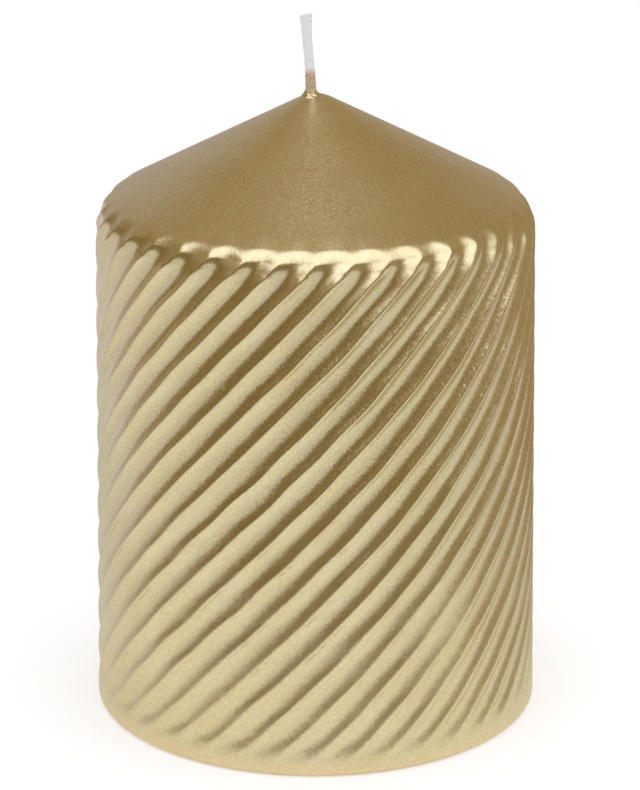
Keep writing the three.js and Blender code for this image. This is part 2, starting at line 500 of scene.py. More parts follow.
@dataclass(frozen=True)
class GoldLacquer(Finish):
    """Pale gold metallic lacquer: fine flakes in a satin film, wrinkled beside the low ridges.

    Attributes:
        deep_colour: its darker colour in random clouds and in streaks along the flutes; the lighter
            streaks stand partly for thin highlight lines beside the ridges, which is painted highlight.
        streak_share: the part that the streaks have beside the clouds.
        rim: heights between which the rim at the base takes its warmer colour, a painted reflection of the
            bright floor beside it.
        roughness: its roughness on the upper side and at the base.
        worn_down: heights between which it goes from one to the other.
        pool_height: half the height over which the smoother collar starts.
    """

    name: str = "gold_lacquer"
    colour: Colour = (0.705, 0.620, 0.378)
    deep_colour: Colour = (0.675, 0.575, 0.330)
    cloud: float = 11.0 * MM
    cloud_detail: float = 3.0
    streak: float = 0.9 * MM
    streak_share: float = 0.4
    streak_blend: Range = (0.36, 0.64)
    # Painted shade: the darker colour laid into the wrinkles, and how much of it is mixed in.
    crease_shade_colour: Colour = (0.36, 0.30, 0.18)
    crease_shade_share: float = 0.4
    crease_depth: float = 0.04 * MM
    # Painted reflection: the rim's warmer colour stands in for the bright floor that it mirrors.
    rim_sheen_colour: Colour = (0.77, 0.62, 0.36)
    rim_sheen_share: float = 0.6
    rim: Range = (3.5 * MM, 0.3 * MM)
    roughness: Range = (0.27, 0.36)
    worn_down: Range = (48.0 * MM, 6.0 * MM)
    pool_height: float = 0.1 * MM
    pool_polish: float = 0.14
    tip_height: float = 98.35 * MM
    swell_grain: float = 1.3 * MM
    swell_height: float = 0.006 * MM
    creases: Creases = Creases()
    flakes: Flakes = Flakes()

    def inputs(self, nodes: Nodes) -> dict[str, Value | Colour]:
        """Lays out the lacquer.

        Args:
            nodes: the material's node tree.

        Returns:
            The Principled shader's inputs.
        """
        place = nodes.place()
        height = nodes.height(place)
        unwound = nodes.stored("unwound", True)
        # The clouds are random tone; the streaks along the flutes are partly painted highlight lines.
        clouds = nodes.product(nodes.noise(place, self.cloud, self.cloud_detail), 1.0 - self.streak_share)
        patch = nodes.math("MULTIPLY_ADD", nodes.noise(unwound, self.streak), self.streak_share, clouds)
        tone = nodes.blend(nodes.ease(patch, *self.streak_blend), self.deep_colour, self.colour)
        crease = self.creases.share(nodes, place, unwound)
        # Painted shade: the wrinkles darken the lacquer's colour.
        tone = nodes.blend(nodes.product(crease, self.crease_shade_share), tone, self.crease_shade_colour)
        # Painted reflection of the floor on the rim at the base.
        rim_sheen_mask = nodes.ease(height, *self.rim)
        tone = nodes.blend(nodes.product(rim_sheen_mask, self.rim_sheen_share), tone, self.rim_sheen_colour)
        pooled = nodes.ease(height, self.tip_height - self.pool_height, self.tip_height + self.pool_height)
        tilt, tint, shade = self.flakes.shares(nodes, place, pooled)
        soft = nodes.bump(nodes.noise(place, self.swell_grain), self.swell_height)
        wrinkled = nodes.bump(crease, -self.crease_depth, soft)
        roughness = nodes.ease(height, *self.worn_down, *self.roughness)
        polish = nodes.ease(pooled, 0.0, 1.0, 0.0, self.pool_polish)
        return {
            "Base Color": nodes.vector("ADD", nodes.scale(tone, shade), tint),
            "Metallic": 1.0,
            "Roughness": nodes.math("SUBTRACT", roughness, polish),
            "Normal": nodes.vector("NORMALIZE", nodes.vector("ADD", wrinkled, tilt)),
        }


@dataclass(frozen=True)
class Paraffin(Finish):
    """Cream white paraffin: a waxy glow under a satin face with faint crystals."""

    name: str = "paraffin"
    colour: Colour = (0.88, 0.84, 0.74)
    dull_colour: Colour = (0.82, 0.77, 0.65)
    crystal: float = 1.6 * MM
    crystal_detail: float = 4.0
    crystal_height: float = 0.03 * MM
    spread: Range = (0.3, 0.7)
    roughness: Range = (0.42, 0.6)
    glow: float = 0.3
    glow_depth: Colour = (4.0 * MM, 3.0 * MM, 2.0 * MM)

    def inputs(self, nodes: Nodes) -> dict[str, Value | Colour]:
        """Lays out the wax.

        Args:
            nodes: the material's node tree.

        Returns:
            The Principled shader's inputs.
        """
        crystals = nodes.noise(nodes.place(), self.crystal, self.crystal_detail)
        return {
            "Base Color": nodes.blend(nodes.ease(crystals, *self.spread), self.dull_colour, self.colour),
            "Roughness": nodes.ease(crystals, *self.spread, *self.roughness),
            "Subsurface Weight": self.glow,
            "Subsurface Radius": self.glow_depth,
            "Normal": nodes.bump(crystals, self.crystal_height),
        }


@dataclass(frozen=True)
class PrimedCotton(Finish):
    """White cotton braid soaked in wax, darkened in its valleys with painted shade, its foot stained by
    the gold lacquer.

    Attributes:
        stain_top: the height that the stain reaches.
        stain_edge: how far above and below that height its edge runs.
        copper_from: how far below it the stain turns from gold to copper.
        ragged: how far the edge strays up.
        roughness: its roughness when white and when stained.
    """

    name: str = "primed_cotton"
    colour: Colour = (0.93, 0.93, 0.93)
    # Painted shade in the braid's valleys.
    valley_shade_colour: Colour = (0.80, 0.80, 0.80)
    gold: Colour = (0.70, 0.58, 0.36)
    copper: Colour = (0.74, 0.56, 0.41)
    stain_top: float = 102.0 * MM
    stain_edge: Range = (1.3 * MM, -0.3 * MM)
    copper_from: float = 1.8 * MM
    ragged: float = 0.9 * MM
    ragged_grain: float = 0.6 * MM
    ragged_detail: float = 3.0
    fibre: float = 0.06 * MM
    fibre_height: float = 0.01 * MM
    drop: float = 0.5 * MM
    drop_edge: Range = (0.42, 0.62)
    drop_height: float = 0.08 * MM
    metal: float = 0.8
    roughness: Range = (0.6, 0.24)

    def inputs(self, nodes: Nodes) -> dict[str, Value | Colour]:
        """Lays out the cotton.

        Args:
            nodes: the material's node tree.

        Returns:
            The Principled shader's inputs.
        """
        place = nodes.place()
        edge = nodes.noise(place, self.ragged_grain, self.ragged_detail)
        level = nodes.math("MULTIPLY_ADD", edge, self.ragged, nodes.height(place))
        stain = nodes.ease(level, *(self.stain_top + reach for reach in self.stain_edge))
        # Painted shade: the braid's valleys are darker.
        white = nodes.blend(nodes.stored("valley"), self.colour, self.valley_shade_colour)
        upper = nodes.ease(level, self.stain_top - self.copper_from, self.stain_top)
        metal = nodes.blend(upper, self.gold, self.copper)
        fibres = nodes.bump(nodes.noise(place, self.fibre), self.fibre_height)
        drops = nodes.ease(nodes.noise(place, self.drop), *self.drop_edge)
        gathered = nodes.product(drops, nodes.ease(stain, 0.5, 1.0))
        return {
            "Base Color": nodes.blend(stain, white, metal),
            "Metallic": nodes.product(stain, self.metal),
            "Roughness": nodes.ease(stain, 0.0, 1.0, *self.roughness),
            "Normal": nodes.bump(gathered, self.drop_height, fibres),
        }


@dataclass(frozen=True)
class Tinplate(Finish):
    """Bright tin plated steel sheet with faint rolling marks."""

    name: str = "tinplate"
    colour: Colour = (0.72, 0.73, 0.74)
    dull_colour: Colour = (0.60, 0.61, 0.62)
    mark: float = 1.2 * MM
    mark_detail: float = 3.0
    mark_height: float = 0.004 * MM
    stretch: float = 14.0
    spread: Range = (0.3, 0.7)
    roughness: Range = (0.2, 0.34)

    def inputs(self, nodes: Nodes) -> dict[str, Value | Colour]:
        """Lays out the sheet.

        Args:
            nodes: the material's node tree.

        Returns:
            The Principled shader's inputs.
        """
        drawn = nodes.vector("MULTIPLY", nodes.place(), (1.0, self.stretch, 1.0))
        marks = nodes.noise(drawn, self.mark, self.mark_detail)
        return {
            "Base Color": nodes.blend(nodes.ease(marks, *self.spread), self.dull_colour, self.colour),
            "Metallic": 1.0,
            "Roughness": nodes.ease(marks, *self.spread, *self.roughness),
            "Normal": nodes.bump(marks, self.mark_height),
        }


@dataclass(frozen=True)
class Rows:
    """Rows of a profile, in order.

    Attributes:
        radius: plain radius of each row.
        height: height of each row.
        offset: share of the wick's offset that each row has.
    """

    radius: np.ndarray
    height: np.ndarray
    offset: np.ndarray

    def reverse(self) -> "Rows":
        """Returns the rows from the last to the first."""
        return Rows(self.radius[::-1], self.height[::-1], self.offset[::-1])


@dataclass(frozen=True)
class Counts:
    """How many rows each part of the body's outline has."""

    edge: int
    side: int
    shoulder: int
    cone: int
    tip: int


@dataclass(frozen=True)
class Body:
    """The candle's plain outline, over the ridges of its gold skin, and the run of its flutes."""

    base_radius: float = 35.0 * MM
    shoulder_height: float = 80.9 * MM
    draft: float = math.radians(0.8)
    slope: float = math.radians(28.1)
    shoulder_round: float = 6.1 * MM
    tip_round: float = 5.6 * MM
    base_round: float = 1.0 * MM
    wick_off: float = 0.7 * MM
    flute_count: int = 38
    flute_depth: float = 0.75 * MM
    flute_lean: float = math.radians(44.0)
    flute_fill: float = 0.38
    fill_top: float = 60.0 * MM
    rim_height: float = 2.4 * MM
    run_out: float = 3.4 * MM

    @property
    def sharp_tip(self) -> float:
        """Height at which the cone's line meets the axis."""
        corner = self.base_radius - self.shoulder_height * math.tan(self.draft)
        return self.shoulder_height + corner * math.tan(self.slope)

    @property
    def tip_centre(self) -> float:
        """Height of the centre of the tip's round."""
        return self.sharp_tip - self.tip_round / math.cos(self.slope)

    @property
    def tip_height(self) -> float:
        """Height of the top of the tip's round."""
        return self.tip_centre + self.tip_round

    @property
    def cone_facing(self) -> float:
        """How far up from level the cone's surface looks."""
        return math.pi / 2.0 - self.slope

    def side_radius(self, height: np.ndarray) -> np.ndarray:
        """Radius of the side over the ridges: it shrinks evenly with height."""
        return self.base_radius - height * math.tan(self.draft)

    def shoulder_centre(self) -> tuple[float, float]:
        """Works out the centre of the shoulder's round.

        Returns:
            Its radius and height: where the lines of the side and the cone meet once both are
            moved in by the round's radius.
        """
        foot = self.base_radius - self.shoulder_round / math.cos(self.draft)
        peak = self.sharp_tip - self.shoulder_round / math.cos(self.slope)
        across = 1.0 - math.tan(self.slope) * math.tan(self.draft)
        radius = (foot - peak * math.tan(self.draft)) / across
        return radius, peak - radius * math.tan(self.slope)

    def turn(self, height: np.ndarray) -> np.ndarray:
        """Angle that the flutes have turned through at a height, the same above the shoulder."""
        level = np.minimum(height, self.shoulder_height)
        return level * math.tan(self.flute_lean) / self.base_radius

    def rows(self, inset: float, counts: Counts, end_radius: float) -> Rows:
        """Rows from the base up to the round of the tip.

        They walk evenly along the base's rounded edge, the side, the shoulder's round, the cone
        and the tip's round, each moved in by the inset.

        Args:
            inset: how far inside the outside they lie.
            counts: how many rows each part has.
            end_radius: the radius of the last row.

        Returns:
            The rows.
        """
        edge = max(self.base_round - inset, 0.0)
        arc = np.linspace(0.0, math.pi / 2.0, counts.edge)
        edge_height = edge * (1.0 - np.cos(arc))
        edge_radius = self.side_radius(edge_height) - inset - edge * (1.0 - np.sin(arc))
        centre_radius, centre_height = self.shoulder_centre()
        shoulder = self.shoulder_round - inset
        side_top = centre_height + shoulder * math.sin(self.draft)
        side_height = np.linspace(edge_height[-1], side_top, counts.side + 1)[1:]
        facing = np.linspace(self.draft, self.cone_facing, counts.shoulder + 1)[1:]
        shoulder_radius = centre_radius + shoulder * np.cos(facing)
        shoulder_height = centre_height + shoulder * np.sin(facing)
        up = np.linspace(0.0, 1.0, counts.cone + 1)[1:]
        foot_radius = (self.tip_round - inset) * math.sin(self.slope)
        cone_radius = shoulder_radius[-1] + (foot_radius - shoulder_radius[-1]) * up
        ending = np.linspace(0.0, 1.0, counts.tip + 1)[1:]
        tip_radius = foot_radius + (end_radius - foot_radius) * ending
        radius = (edge_radius, self.side_radius(side_height) - inset, shoulder_radius,
                  cone_radius, tip_radius)
        height = (edge_height, side_height, shoulder_height,
                  self.top_at(cone_radius, inset), self.top_at(tip_radius, inset))
        level = np.zeros(counts.edge + counts.side + counts.shoulder + counts.cone)
        offset = (level, ending)
        return Rows(np.concatenate(radius), np.concatenate(height), np.concatenate(offset))

    def top_at(self, distance: np.ndarray, inset: float) -> np.ndarray:
        """Height of the top: the round of the tip, and the cone further out.

        Args:
            distance: distances from the middle.
            inset: how far inside the outside the surface lies.

        Returns:
            The heights.
        """
        ball = self.tip_round - inset
        on_round = self.tip_centre + np.sqrt(np.maximum(ball**2 - distance**2, 0.0))
        peak = self.sharp_tip - inset / math.cos(self.slope)
        on_cone = peak - distance * math.tan(self.slope)
        return np.where(distance < ball * math.sin(self.slope), on_round, on_cone)

    def points(self, rows: Rows, inset: float, radius: np.ndarray, angle: np.ndarray) -> np.ndarray:
        """Places points on the body; near the tip they run round the wick's line.

        Args:
            rows: heights and offsets.
            inset: how far inside the outside they lie.
            radius: radius of each point.
            angle: angle of each point.

        Returns:
            Rows by columns by 3.
        """
        across = radius * np.cos(angle) - self.wick_off * rows.offset[:, None]
        along = radius * np.sin(angle)
        on_top = self.top_at(np.hypot(across, along), inset)
        level = np.where(rows.offset[:, None] > 0.0, on_top, rows.height[:, None])
        return np.stack((across, along, level), axis=-1)


@dataclass(frozen=True)
class Worn:
    """A patch where the flutes are shallower, or deeper.

    Attributes:
        angle: its middle, in radians round the candle.
        height: its middle.
        half_angle: half its width.
        half_height: half its height.
        loss: share of the depth lost in the middle, below 0 for a gain.
    """

    angle: float
    height: float
    half_angle: float
    half_height: float
    loss: float

    def share(self, angle: np.ndarray, height: np.ndarray) -> np.ndarray:
        """Share of the depth that is left.

        Args:
            angle: angles round the candle.
            height: heights.

        Returns:
            1 minus the loss times exp(-(u squared + v squared)), where u and v are the distances
            from the middle in half widths.
        """
        near = np.angle(np.exp(1j * (angle - self.angle))) / self.half_angle
        above = (height - self.height) / self.half_height
        return 1.0 - self.loss * np.exp(-(near**2 + above**2))


@dataclass
class GoldSkin:
    """The lacquered skin: fluted side, rounded shoulder, smooth cone and the collar at the wick.

    Attributes:
        crowding: how far the columns of points crowd towards the ridges, from 0 to 1.
        ridge_softness: how round the ridges are above sharp_from, as a share of half a flute.
        top_gain: the share by which the flutes are deeper at the shoulder.
        follow: the share by which the flutes' floors lean in along with the shoulder.
        brim_blend: how wide the flutes blend with the shoulder; side_blend is for the side.
        brim_drop: how far the shoulder drops inside the side until the wider blend is reached.
        swell: how far the shoulder draws in past each finger tip, from swell_in to swell_out.
        inner_depth: how far inside the outside the skin's inside lies.
        collar_lip: the wall at the collar's top.
        collar_twist: the height over which its lumps turn by a radian.
        unwinding: how slowly the stored coordinates change along the flutes.
    """

    body: Body
    points_per_flute: int = 16
    crowding: float = 0.55
    ridge_softness: float = 0.08
    base_softness: float = 0.27
    sharp_from: float = 48.0 * MM
    top_gain: float = 0.35
    gain_from: float = 45.0 * MM
    uneven: Ripple = Ripple(seed=11, waves=9, most_round=38, shortest_rise=24.0 * MM)
    unevenness: float = 0.07
    swaying: Ripple = Ripple(seed=5, waves=14, most_round=34, shortest_rise=7.0 * MM)
    sway: float = 0.13 * MM
    sway_from: Range = (3.0 * MM, 12.0 * MM)
    follow: float = 0.52
    side_blend: float = 0.02 * MM
    brim_blend: float = 0.80 * MM
    brim_drop: float = 0.45 * MM
    swell: float = 0.24 * MM
    swell_in: Range = (0.3 * MM, 1.0 * MM)
    swell_out: Range = (3.4 * MM, 1.3 * MM)
    inner_depth: float = 1.25 * MM
    counts: Counts = Counts(edge=6, side=68, shoulder=38, cone=10, tip=3)
    inner_counts: Counts = Counts(edge=1, side=4, shoulder=4, cone=1, tip=1)
    worn: tuple[Worn, ...] = (
        Worn(math.radians(304.0), 23.0 * MM, math.radians(11.0), 9.0 * MM, 0.45),
        Worn(math.radians(326.0), 11.0 * MM, math.radians(16.0), 14.0 * MM, -0.35),
        Worn(math.radians(212.0), 8.0 * MM, math.radians(20.0), 12.0 * MM, -0.55),
        Worn(math.radians(75.0), 50.0 * MM, math.radians(14.0), 12.0 * MM, 0.30),
        Worn(math.radians(150.0), 30.0 * MM, math.radians(12.0), 14.0 * MM, 0.40),
    )
    bore_radius: float = 0.87 * MM
    collar_foot: float = 1.65 * MM
    collar_rise: float = 0.6 * MM
    collar_lip: float = 0.06 * MM
    lumps: Ripple = Ripple(seed=23, waves=16, most_round=8, shortest_rise=0.7 * MM)
    collar_lump: float = 0.13 * MM
    collar_twist: float = 0.6 * MM
    collar_power: float = 1.5
    collar_rows: int = 15
    unwinding: float = 0.12

    def across(self) -> tuple[np.ndarray, np.ndarray]:
        """Places round the skin, crowded towards the ridges.

        Returns:
            The angle of each column, and its place across its flute from -1 to 1.
        """
        even = np.arange(self.points_per_flute) / self.points_per_flute
        place = even - self.crowding * np.sin(2.0 * math.pi * even) / (2.0 * math.pi)
        flutes = np.arange(self.body.flute_count)[:, None]
        angle = (flutes + place[None, :]).ravel() * 2.0 * math.pi / self.body.flute_count
        return angle[None, :], np.tile(2.0 * place - 1.0, self.body.flute_count)[None, :]

    def hollow(self, across: np.ndarray, height: np.ndarray) -> np.ndarray:
        """Depth of a flute's section, 0 on the ridge and 1 on the floor.

        It is the parabola 2 d - d squared of the distance d from the ridge, with d replaced by the
        root of d squared plus softness squared, so that the ridge is round, and rounder low down.

        Args:
            across: places across the flute, from -1 to 1.
            height: heights.

        Returns:
            The share of the depth.
        """
        sharp = smooth_step(0.0, self.sharp_from, height)
        soft = self.base_softness + (self.ridge_softness - self.base_softness) * sharp
        distance = np.sqrt((1.0 - np.abs(across)) ** 2 + soft * soft)
        far = np.sqrt(1.0 + soft * soft)
        ridge, floor = 2.0 * soft - soft**2, 2.0 * far - far**2
        return (2.0 * distance - distance**2 - ridge) / (floor - ridge)

    def depth(self, angle: np.ndarray, turned: np.ndarray, height: np.ndarray) -> np.ndarray:
        """Depth of the flutes.

        It is ramped at the rim, filled by the lacquer that settles low down and by worn patches,
        greater near the shoulder, and a little uneven from flute to flute.

        Args:
            angle: angles that follow the flutes.
            turned: angles round the candle.
            height: heights.

        Returns:
            The depth in metres.
        """
        body = self.body
        ramp = smooth_step(body.rim_height, body.rim_height + body.run_out, height)
        settled = 1.0 - body.flute_fill * smooth_step(body.fill_top, 0.0, height)
        settled = settled + self.top_gain * smooth_step(self.gain_from, body.shoulder_height, height)
        left = np.ones_like(turned)
        for patch in self.worn:
            left = left * patch.share(turned, height)
        uneven = 1.0 + self.unevenness * self.uneven.at(angle, height)
        return body.flute_depth * ramp * settled * left * uneven

    def outside(self) -> tuple[Rows, np.ndarray, np.ndarray]:
        """Works out the fluted outside, from the base to the collar.

        Each flute cuts up the side, then leans in behind the shoulder, so it runs out in a finger
        tip where the shoulder falls away inside it. Past the fingers the shoulder still swells a
        little between them.

        Returns:
            Its rows, and the radius and the angle of each point.
        """
        body = self.body
        rows = body.rows(0.0, self.counts, self.collar_foot)
        plain, height = rows.radius[:, None], rows.height[:, None]
        angle, across = self.across()
        wobble = self.sway * self.swaying.at(angle, height) / body.base_radius
        turned = angle + body.turn(height) + wobble * smooth_step(*self.sway_from, height)
        hollow = self.hollow(across, height)
        side = body.side_radius(height)
        drop = side - plain
        cut = side - self.follow * drop - self.depth(angle, turned, height) * hollow
        swelling = smooth_step(*self.swell_in, drop) * smooth_step(*self.swell_out, drop)
        swollen = plain - self.swell * hollow * swelling
        widened = (self.brim_blend - self.side_blend) * smooth_step(0.0, self.brim_drop, drop)
        fluted = np.minimum(soft_min(swollen, cut, self.side_blend + widened), plain)
        return rows, np.where(height > body.base_round, fluted, plain), turned

    def collar(self, foot: np.ndarray, angle: np.ndarray) -> np.ndarray:
        """Works out the collar of lacquer that gathers round the wick, and the bore inside it.

        Its radius falls from its foot to the wick as (1 - t) to a power while it rises, and lumps
        of lacquer push it out and in.

        Args:
            foot: the height of each point of the row that it stands on.
            angle: the angle of each of those points round the wick.

        Returns:
            Rows by columns by 3.
        """
        share = np.linspace(0.0, 1.0, self.collar_rows + 1)[1:, None]
        neck = self.bore_radius + self.collar_lip
        top = self.body.tip_height + self.collar_rise
        height = foot + (top - foot) * share
        twist = angle + (height - top) / self.collar_twist
        lumps = self.lumps.at(twist, height) * np.sin(math.pi * share)
        radius = neck + (self.collar_foot - neck) * (1.0 - share) ** self.collar_power
        radius = np.maximum(radius + self.collar_lump * lumps, neck)
        bore = np.full((2, angle.shape[1]), self.bore_radius)
        radius = np.concatenate((radius, bore))
        height = np.concatenate((height, height[-1:], foot - self.collar_lip))
        across = radius * np.cos(angle) - self.body.wick_off
        return np.stack((across, radius * np.sin(angle), height), axis=-1)

    def surface(self) -> Surface:
        """Joins the outside, the collar and the inside into one closed skin.

        Returns:
            The skin, with the distance from the ridge, the side of the flute and coordinates that
            change slowly along the flutes.
        """
        body = self.body
        rows, radius, turned = self.outside()
        inside = body.rows(self.inner_depth, self.inner_counts, self.bore_radius).reverse()
        angle, across = self.across()
        last = turned[-1:]
        fade = smooth_step(0.0, body.shoulder_height, inside.height)[:, None]
        untwisted = angle + (last - angle) * fade
        outer = body.points(rows, 0.0, radius, turned)
        points = np.concatenate((
            outer,
            self.collar(outer[-1:, :, 2], last),
            body.points(inside, self.inner_depth, inside.radius[:, None], untwisted),
        ))
        shape = points.shape[:2]
        height = points[..., 2]
        unwound = np.stack((
            np.broadcast_to(body.base_radius * np.cos(angle), shape),
            np.broadcast_to(body.base_radius * np.sin(angle), shape),
            height * self.unwinding,
        ), axis=-1)
        values = {
            "ridge": np.broadcast_to(1.0 - np.abs(across), shape),
            "flank": np.broadcast_to(np.sin(math.pi * across), shape),
            "unwound": unwound,
        }
        return Surface(points, True, values)

    def build(self) -> bpy.types.Object:
        """Makes the skin, dressed and riding on the frame."""
        made = self.surface().build("gold_skin_lacquered")
        return settle(made, GoldLacquer(tip_height=self.body.tip_height), "gold_skin")


@dataclass
class Wick:
    """The braided wick: strands that cross over each other, smoothed by the wax they soaked up.

    Attributes:
        free: its length above the tip.
        bend: how far above the tip its line starts to lean by the sway.
        curve: the share of the lean by which its line bows.
        waist: the share of its width lost halfway up; flare is the share gained at the cut.
        flatness: its depth from front to back as a share of its width.
        cut: how far the cut across its top slants.
        dip: how much lower a strand lies where it passes under, as a share of the relief.
        stain: how far the lacquer's stain reaches above the tip.
    """

    body: Body
    radius: float = 0.85 * MM
    free: float = 12.4 * MM
    foot: float = 0.3 * MM
    bend: float = 0.8 * MM
    sway: float = 0.72 * MM
    curve: float = 0.08
    waist: float = 0.12
    flare: float = 0.13
    flare_power: int = 6
    flatness: float = 0.94
    cut: float = 0.35 * MM
    cut_power: int = 8
    strands: int = 4
    pitch: float = 3.4 * MM
    relief: float = 0.05 * MM
    dip: float = 0.45
    stain: float = 3.6 * MM
    columns: int = 96
    rows: int = 190
    hidden_rows: int = 5

    def braid(self, angle: np.ndarray, height: np.ndarray) -> np.ndarray:
        """Height of the braid from 0 in its valleys to 1 on its strands.

        One set of strands climbs to the left and one to the right. Each is a row of rounded bars,
        lifted where it passes over the other set and lowered where it passes under.

        Args:
            angle: angles round the wick.
            height: heights.

        Returns:
            The higher of the two sets.
        """
        along = height / self.pitch * self.strands / 2.0
        left = self.strands * angle / (2.0 * math.pi) + along
        right = self.strands * angle / (2.0 * math.pi) - along
        lift = 0.5 + 0.5 * np.sin(math.pi * (left + right)) * np.sin(math.pi * (left - right))
        bar_left = np.sqrt(np.abs(np.sin(math.pi * left))) * (1.0 - self.dip * (1.0 - lift))
        bar_right = np.sqrt(np.abs(np.sin(math.pi * right))) * (1.0 - self.dip * lift)
        return np.maximum(bar_left, bar_right)

    def surface(self) -> Surface:
        """Works out the wick from its foot in the clip to the slanted cut at its top.

        Above the candle its line leans left by the sway times t - curve sin(2 pi t), and its width
        is 1 - waist sin(pi t) + flare t to a power, with t the share of the way up.

        Returns:
            The wick, with the depth of its braid's valleys.
        """
        bend = self.body.tip_height + self.bend
        top = self.body.tip_height + self.free
        hidden = np.linspace(self.foot, bend, self.hidden_rows + 1)[:-1]
        free = bend + (top - bend) * np.linspace(0.0, 1.0, self.rows)
        height = np.concatenate((hidden, free))[:, None]
        share = np.clip((height - bend) / (top - bend), 0.0, 1.0)
        angle = turns(self.columns)
        braid = self.braid(angle, height)
        width = 1.0 - self.waist * np.sin(math.pi * share) + self.flare * share**self.flare_power
        radius = self.radius * width - self.relief * (1.0 - braid)
        lean = self.sway * (share - self.curve * np.sin(2.0 * math.pi * share))
        across = radius * np.cos(angle)
        slant = self.cut * share**self.cut_power * (0.5 - across / (2.0 * self.radius))
        points = np.stack((
            across - lean - self.body.wick_off,
            self.flatness * radius * np.sin(angle),
            np.broadcast_to(height - slant, across.shape),
        ), axis=-1)
        return Surface(points, False, {"valley": 1.0 - braid})

    def build(self) -> bpy.types.Object:
        """Makes the wick, dressed and riding on the frame.

        Returns:
            The wick.
        """
        made = self.surface().build("wick_braided")
        finish = PrimedCotton(stain_top=self.body.tip_height + self.stain)
        return settle(made, finish, "wick")


@dataclass
class WaxCore:
    """The core: plain under the skin, bored for the wick and recessed below for the clip.

    Attributes:
        inset: how far inside the skin's outside it lies.
        rest: the length of the short steps that keep its corners' rounds apart.
        edge: how far each round reaches from its corner.
    """

    body: Body
    inset: float = 1.3 * MM
    counts: Counts = Counts(edge=1, side=8, shoulder=8, cone=3, tip=2)
    bore_radius: float = 1.15 * MM
    neck_radius: float = 1.85 * MM
    neck_top: float = 7.1 * MM
    recess_radius: float = 7.3 * MM
    recess_top: float = 1.45 * MM
    rest: float = 2.0 * MM
    edge: float = 0.35 * MM
    edge_steps: int = 4
    columns: int = 152

    def surface(self) -> Surface:
        """Works out the core.

        Returns:
            The core: its outside up to the bore, down the bore, and out along the underside.
        """
        body = self.body
        outside = body.rows(self.inset, self.counts, self.bore_radius)
        corners = np.array([
            (self.bore_radius, self.neck_top + self.rest),
            (self.bore_radius, self.neck_top),
            (self.neck_radius, self.neck_top),
            (self.neck_radius, self.recess_top),
            (self.recess_radius, self.recess_top),
            (self.recess_radius, 0.0),
            (self.recess_radius + 2.0 * self.rest, 0.0),
            (outside.radius[0] - self.rest, 0.0),
            (outside.radius[0], 0.0),
            (outside.radius[1], outside.height[1]),
        ])
        under = round_corners(corners, self.edge, self.edge_steps)[:-1]
        top = body.points(outside, self.inset, outside.radius[:, None], turns(self.columns))[1:]
        near_wick = smooth_step(outside.radius[0], self.recess_radius, under[:, 0])
        centre = -body.wick_off * near_wick[:, None]
        below = revolve(under[:, 0], under[:, 1], self.columns, centre)
        return Surface(np.concatenate((top, below)), True)

    def build(self) -> bpy.types.Object:
        """Makes the core, dressed and riding on the frame."""
        made = self.surface().build("wax_core_poured")
        return settle(made, Paraffin(), "wax_core")


@dataclass
class WickClip:
    """The clip: a pressed disc with a ring bead, drawn up into a neck crimped on the wick.

    Attributes:
        lift: the height of its underside.
        bead: the height of the ring pressed into the disc.
        crimp: how far the neck is squeezed in.
        crimp_middle: the height of the crimp's middle over the underside.
        crimp_reach: how far the crimp reaches above and below its middle.
        step: the length of the short steps that keep the corners' rounds apart.
        edge: how far each round reaches from its corner.
    """

    body: Body
    radius: float = 7.0 * MM
    sheet: float = 0.5 * MM
    lift: float = 0.3 * MM
    neck_height: float = 6.0 * MM
    neck_radius: float = 1.5 * MM
    bore_radius: float = 0.88 * MM
    bead_radius: float = 4.9 * MM
    bead: float = 0.35 * MM
    crimp: float = 0.16 * MM
    crimp_middle: float = 4.1 * MM
    crimp_reach: float = 1.1 * MM
    step: float = 0.4 * MM
    edge: float = 0.18 * MM
    edge_steps: int = 4
    columns: int = 96

    def surface(self) -> Surface:
        """Works out the clip.

        The neck's outside is squeezed in at four sides, by the crimp times the squared cosine of
        twice the angle, in a smooth band round the crimp's middle.

        Returns:
            The clip: its underside outwards, its top inwards, up the neck and down its bore.
        """
        low, high, sheet = self.lift, self.lift + self.neck_height + self.sheet, self.sheet
        crimp = [(self.neck_radius, low + self.crimp_middle + share * self.crimp_reach)
                 for share in (-1.0, -0.5, 0.0, 0.5, 1.0)]
        corners = np.array([
            (self.bore_radius, low + 2.0 * sheet),
            (self.bore_radius, low),
            (self.bead_radius - 2.0 * sheet, low),
            (self.bead_radius - sheet, low),
            (self.bead_radius, low + self.bead),
            (self.bead_radius + sheet, low),
            (self.radius - self.step, low),
            (self.radius, low),
            (self.radius, low + sheet),
            (self.radius - self.step, low + sheet),
            (self.bead_radius + sheet, low + sheet),
            (self.bead_radius, low + sheet + self.bead),
            (self.bead_radius - sheet, low + sheet),
            (self.neck_radius + sheet, low + sheet),
            (self.neck_radius, low + 2.0 * sheet),
            *crimp,
            (self.neck_radius, high),
            (self.bore_radius, high),
            (self.bore_radius, low + 4.0 * sheet),
        ])
        section = round_corners(corners, self.edge, self.edge_steps)
        near = (section[:, 1:] - self.lift - self.crimp_middle) / self.crimp_reach
        band = np.clip(1.0 - near**2, 0.0, 1.0) ** 2
        on_neck = section[:, :1] > 0.5 * (self.bore_radius + self.neck_radius)
        squeeze = self.crimp * np.cos(2.0 * turns(self.columns)) ** 2 * band * on_neck
        points = revolve(section[:, :1] - squeeze, section[:, 1], self.columns, -self.body.wick_off)
        return Surface(points, True)

    def build(self) -> bpy.types.Object:
        """Makes the clip, dressed and riding on the frame."""
        made = self.surface().build("wick_clip_pressed")
        return settle(made, Tinplate(), "wick_clip")


def settle(made: bpy.types.Object, finish: Finish, node: str) -> bpy.types.Object:
    """Dresses a new piece and fixes it to the frame in place of a CAD node.

    Args:
        made: the new piece.
        finish: its finish.
        node: the CAD node that it stands for.

    Returns:
        The piece.
    """
    made.data.materials.append(finish.material())
    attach(made, "root")
    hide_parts(node)
    return made


